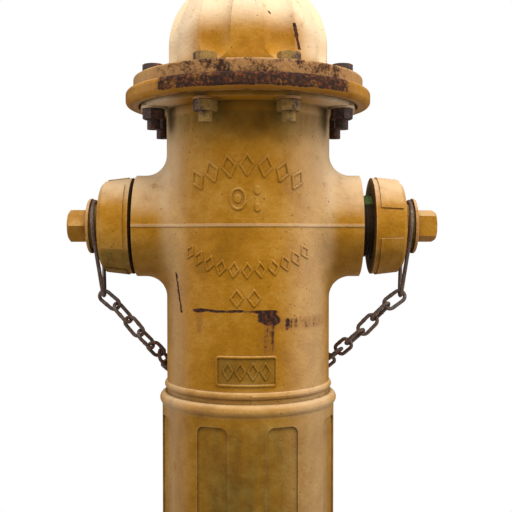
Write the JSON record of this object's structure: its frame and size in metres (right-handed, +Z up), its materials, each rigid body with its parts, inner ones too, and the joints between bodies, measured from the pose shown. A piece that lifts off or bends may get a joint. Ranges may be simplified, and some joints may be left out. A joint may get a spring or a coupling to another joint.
{
  "type": "fire hydrant",
  "caption": "Dry-barrel fire hydrant with screw-capped hose outlets and a pumper outlet, chained caps, a fluted bonnet and a buried valve worked by the top nut.",
  "frame": {"origin": "centre of the underside of the shoe's foot, on the barrel's axis", "axes": "+Z up the barrel, +X out of the right hose outlet, +Y out of the pumper outlet and the inlet"},
  "size_m": [0.4612, 0.3925, 1.6833],
  "materials": {
    "yellow_paint": "weathered ochre paint",
    "coated_iron": "bituminous coating",
    "bronze": "dull bronze",
    "stem_steel": "satin",
    "bolt_steel": "rusted",
    "chain_steel": "rusted dark",
    "rubber": "matte",
    "thrust_plastic": "matte"
  },
  "bodies": {
    "root": {"bonnet": "yellow_paint", "oil_filler_plug": "bolt_steel", "bonnet_seal": "rubber", "bonnet_bolts": "bolt_steel", "bonnet_nuts": "bolt_steel", "stem_seals": "rubber", "thrust_washer": "thrust_plastic", "hold_down_nut": "bronze", "hold_down_seals": "rubber", "seat_ring": "bronze", "seat_ring_seals": "rubber", "upper_barrel": "yellow_paint", "chain_shackle": "chain_steel", "safety_flange": "coated_iron", "safety_flange_bolts": "bolt_steel", "safety_flange_nuts": "bolt_steel", "ground_seal": "rubber", "lower_barrel": "coated_iron", "drain_ring": "bronze", "drain_ring_housing": "coated_iron", "housing_seals": "rubber", "housing_bolts": "bolt_steel", "housing_nuts": "bolt_steel", "shoe": "coated_iron", "shoe_bolts": "bolt_steel", "shoe_nuts": "bolt_steel", "nozzle_seals": "rubber", "nozzle_locks": "stem_steel", "left_hose_nozzle": "bronze", "left_hose_chain": "chain_steel", "right_hose_nozzle": "bronze", "right_hose_chain": "chain_steel", "pumper_nozzle": "bronze", "pumper_chain": "chain_steel"},
    "operating_head": {"operating_nut": "bronze", "weather_cap": "yellow_paint"},
    "stem_and_valve": {"upper_stem": "stem_steel", "lower_stem": "stem_steel", "stem_coupling": "stem_steel", "coupling_pins": "stem_steel", "cotter_pins": "stem_steel", "upper_valve_plate": "bronze", "drain_facings": "thrust_plastic", "facing_screws": "stem_steel", "main_valve": "rubber", "lower_valve_plate": "coated_iron", "lock_washer": "stem_steel", "cap_nut": "bronze"},
    "left_hose_ring_body": {"left_hose_chain_ring": "chain_steel"},
    "left_hose_cap_body": {"left_hose_cap": "yellow_paint", "left_hose_cap_gasket": "rubber"},
    "right_hose_ring_body": {"right_hose_chain_ring": "chain_steel"},
    "right_hose_cap_body": {"right_hose_cap": "yellow_paint", "right_hose_cap_gasket": "rubber"},
    "pumper_ring_body": {"pumper_chain_ring": "chain_steel"},
    "pumper_cap_body": {"pumper_cap": "yellow_paint", "pumper_cap_gasket": "rubber"}
  },
  "joints": [
    {"name": "operating_nut_turn", "type": "hinge", "parent": "root", "child": "operating_head", "pos_m": [0, 0, 1.61035], "axis": [0, 0, 1], "range_deg": [0, 3960]},
    {"name": "stem_travel", "type": "slide", "parent": "root", "child": "stem_and_valve", "axis": [0, 0, 1], "range_m": [-0.06985, 0]},
    {"name": "left_hose_cap_advance", "type": "slide", "parent": "root", "child": "left_hose_ring_body", "axis": [-1, 0, 0], "range_m": [0, 0.08128], "deforming": ["left_hose_chain"]},
    {"name": "left_hose_cap_turn", "type": "hinge", "parent": "left_hose_ring_body", "child": "left_hose_cap_body", "pos_m": [-0.139, 0, 1.28835], "axis": [-1, 0, 0], "range_deg": [0, 8640]},
    {"name": "right_hose_cap_advance", "type": "slide", "parent": "root", "child": "right_hose_ring_body", "axis": [1, 0, 0], "range_m": [-0.01016, 0.07112], "deforming": ["right_hose_chain"]},
    {"name": "right_hose_cap_turn", "type": "hinge", "parent": "right_hose_ring_body", "child": "right_hose_cap_body", "pos_m": [0.139, 0, 1.28835], "axis": [1, 0, 0], "range_deg": [-1080, 7560]},
    {"name": "pumper_cap_advance", "type": "slide", "parent": "root", "child": "pumper_ring_body", "axis": [0, 1, 0], "range_m": [0, 0.1016], "deforming": ["pumper_chain"]},
    {"name": "pumper_cap_turn", "type": "hinge", "parent": "pumper_ring_body", "child": "pumper_cap_body", "pos_m": [0, 0.145, 1.28835], "axis": [0, 1, 0], "range_deg": [0, 5760]}
  ],
  "couplings": [
    {"joint": "stem_travel", "follows": "operating_nut_turn", "m_per_rad": -0.0010106},
    {"joint": "left_hose_cap_advance", "follows": "left_hose_cap_turn", "m_per_rad": 0.000539},
    {"joint": "right_hose_cap_advance", "follows": "right_hose_cap_turn", "m_per_rad": 0.000539},
    {"joint": "pumper_cap_advance", "follows": "pumper_cap_turn", "m_per_rad": 0.0010106}
  ]
}
